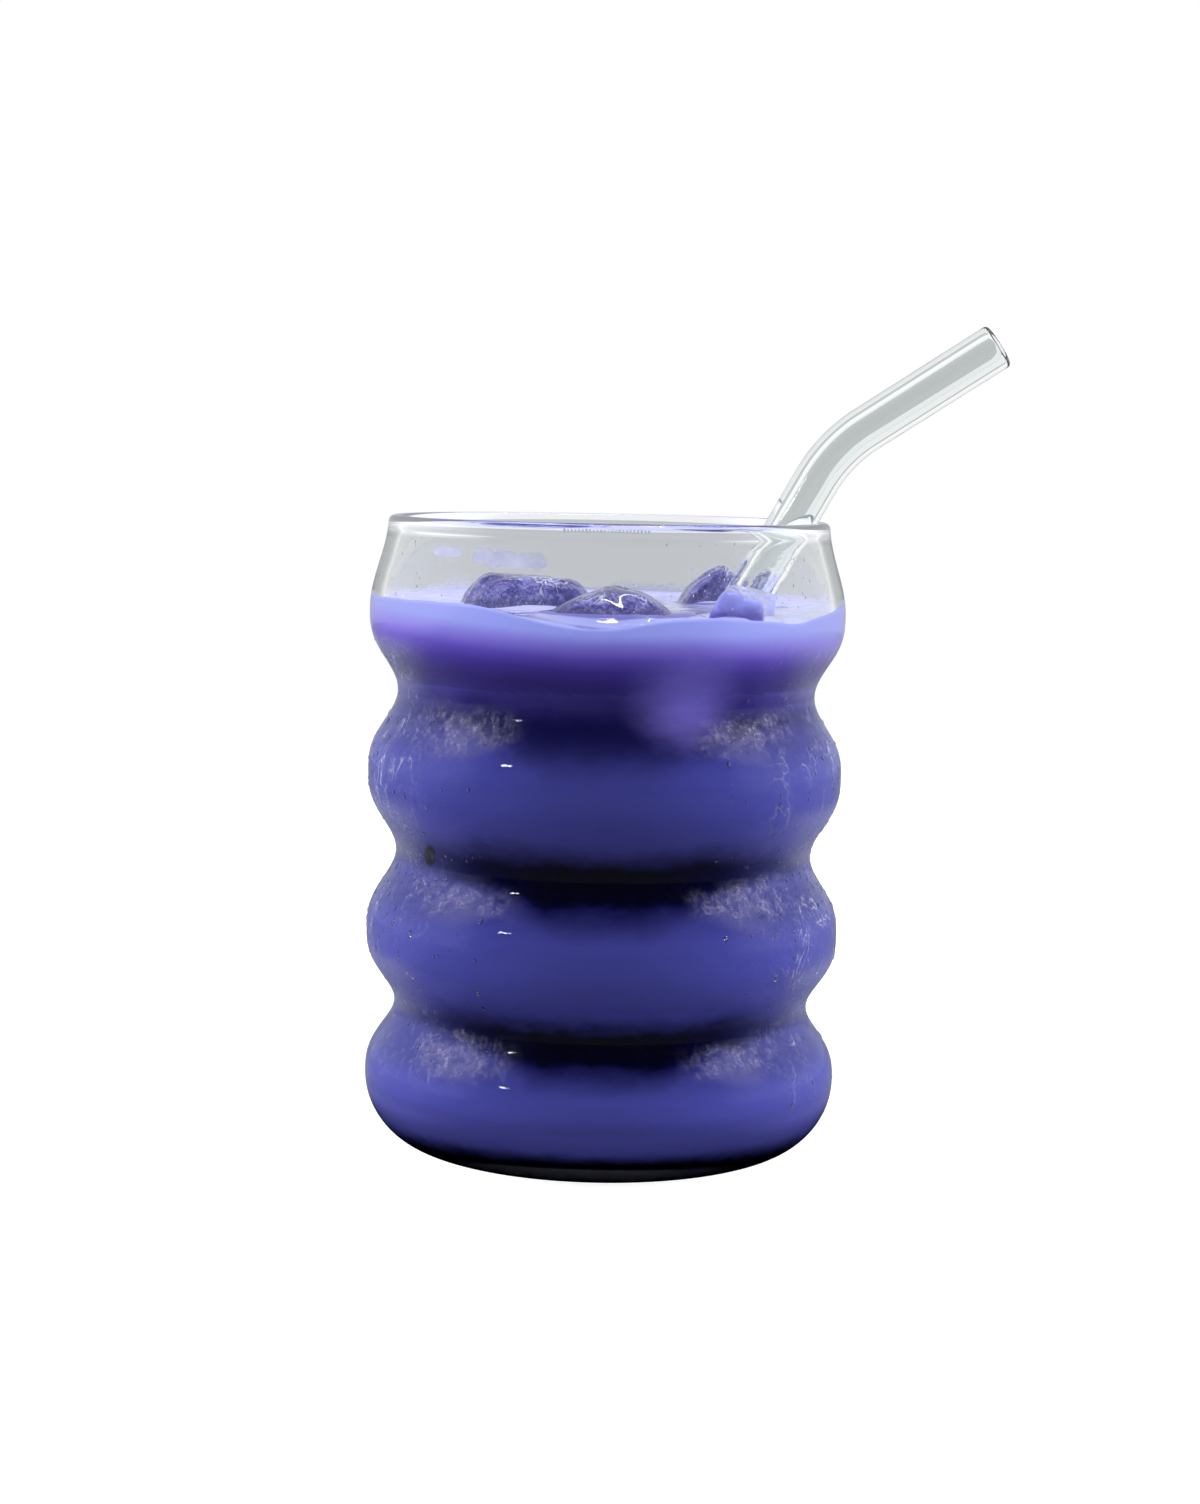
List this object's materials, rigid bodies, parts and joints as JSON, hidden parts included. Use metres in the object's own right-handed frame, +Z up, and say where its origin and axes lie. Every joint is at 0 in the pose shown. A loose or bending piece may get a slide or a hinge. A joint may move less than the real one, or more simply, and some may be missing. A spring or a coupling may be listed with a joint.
{
  "type": "iced taro tea in a rippled glass",
  "caption": "Round rippled glass tumbler filled with violet taro tea, with lumps of ice at the surface and a bent clear straw that leans on the rim.",
  "frame": {"origin": "middle of the foot of the tumbler, on the surface that it stands on", "axes": "+Z up along the axis of the tumbler; the straw leans and bends towards +X; the pictured side faces -Y"},
  "size_m": [0.1091, 0.0828, 0.1434],
  "materials": {
    "glass": "clear, polished, with drops of condensation",
    "drink": "opaque violet liquid, paler at the surface",
    "straw_glass": "clear, polished, fire polished ends",
    "ice": "wet ice, tinted by the drink"
  },
  "bodies": {
    "root": {"cup": "glass", "drink": "drink", "straw": "straw_glass", "ice_left": "ice", "ice_middle": "ice", "ice_right": "ice", "ice_small": "ice", "ice_slab": "ice"}
  },
  "joints": []
}
